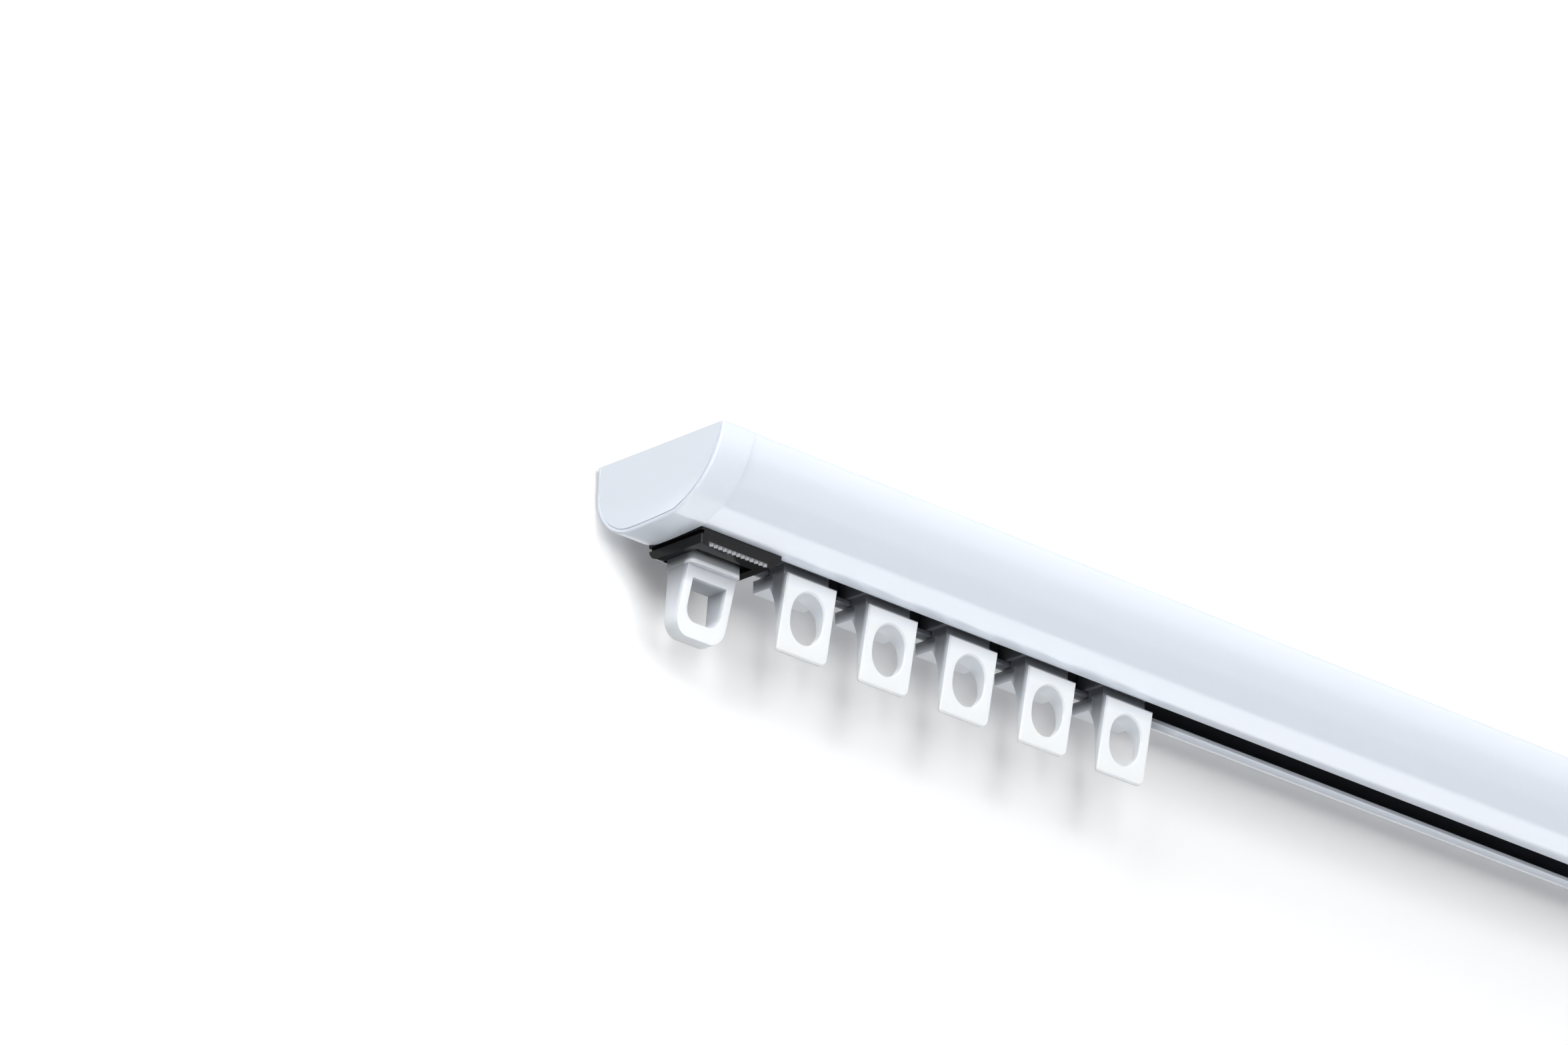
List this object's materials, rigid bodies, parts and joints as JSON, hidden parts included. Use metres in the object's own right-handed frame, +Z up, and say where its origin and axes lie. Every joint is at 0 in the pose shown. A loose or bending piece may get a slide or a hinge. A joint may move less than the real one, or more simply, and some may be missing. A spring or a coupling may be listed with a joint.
{
  "type": "curtain track",
  "caption": "Bowed white ceiling curtain track with end caps, an end stop with a fixed eye and sliding gliders.",
  "frame": {"origin": "on the top land that fastens to the ceiling, on its centre line, halfway along the track", "axes": "+X along the track, away from the end stop; +Y from the bowed front to the wall; +Z up"},
  "size_m": [0.6, 0.0278, 0.0266],
  "materials": {
    "track_coat": "satin powder coat",
    "cap_plastic": "smooth moulded",
    "stop_plastic": "smooth moulded",
    "eye_plastic": "smooth moulded",
    "glider_plastic": "smooth moulded"
  },
  "bodies": {
    "track": {"track_profile": "track_coat", "end_cap_left": "cap_plastic", "end_cap_right": "cap_plastic", "end_stop": "stop_plastic", "fixed_eye": "eye_plastic"},
    "glider_1": {"glider_1": "glider_plastic"},
    "glider_2": {"glider_2": "glider_plastic"},
    "glider_3": {"glider_3": "glider_plastic"},
    "glider_4": {"glider_4": "glider_plastic"},
    "glider_5": {"glider_5": "glider_plastic"}
  },
  "joints": [
    {"name": "glider_1_slide", "type": "slide", "parent": "track", "child": "glider_1", "axis": [1, 0, 0], "range_m": [-0.0035, 0.09678]},
    {"name": "glider_2_slide", "type": "slide", "parent": "glider_1", "child": "glider_2", "axis": [1, 0, 0], "range_m": [-0.007, 0.09678]},
    {"name": "glider_3_slide", "type": "slide", "parent": "glider_2", "child": "glider_3", "axis": [1, 0, 0], "range_m": [-0.007, 0.09678]},
    {"name": "glider_4_slide", "type": "slide", "parent": "glider_3", "child": "glider_4", "axis": [1, 0, 0], "range_m": [-0.007, 0.09678]},
    {"name": "glider_5_slide", "type": "slide", "parent": "glider_4", "child": "glider_5", "axis": [1, 0, 0], "range_m": [-0.007, 0.09678]}
  ]
}
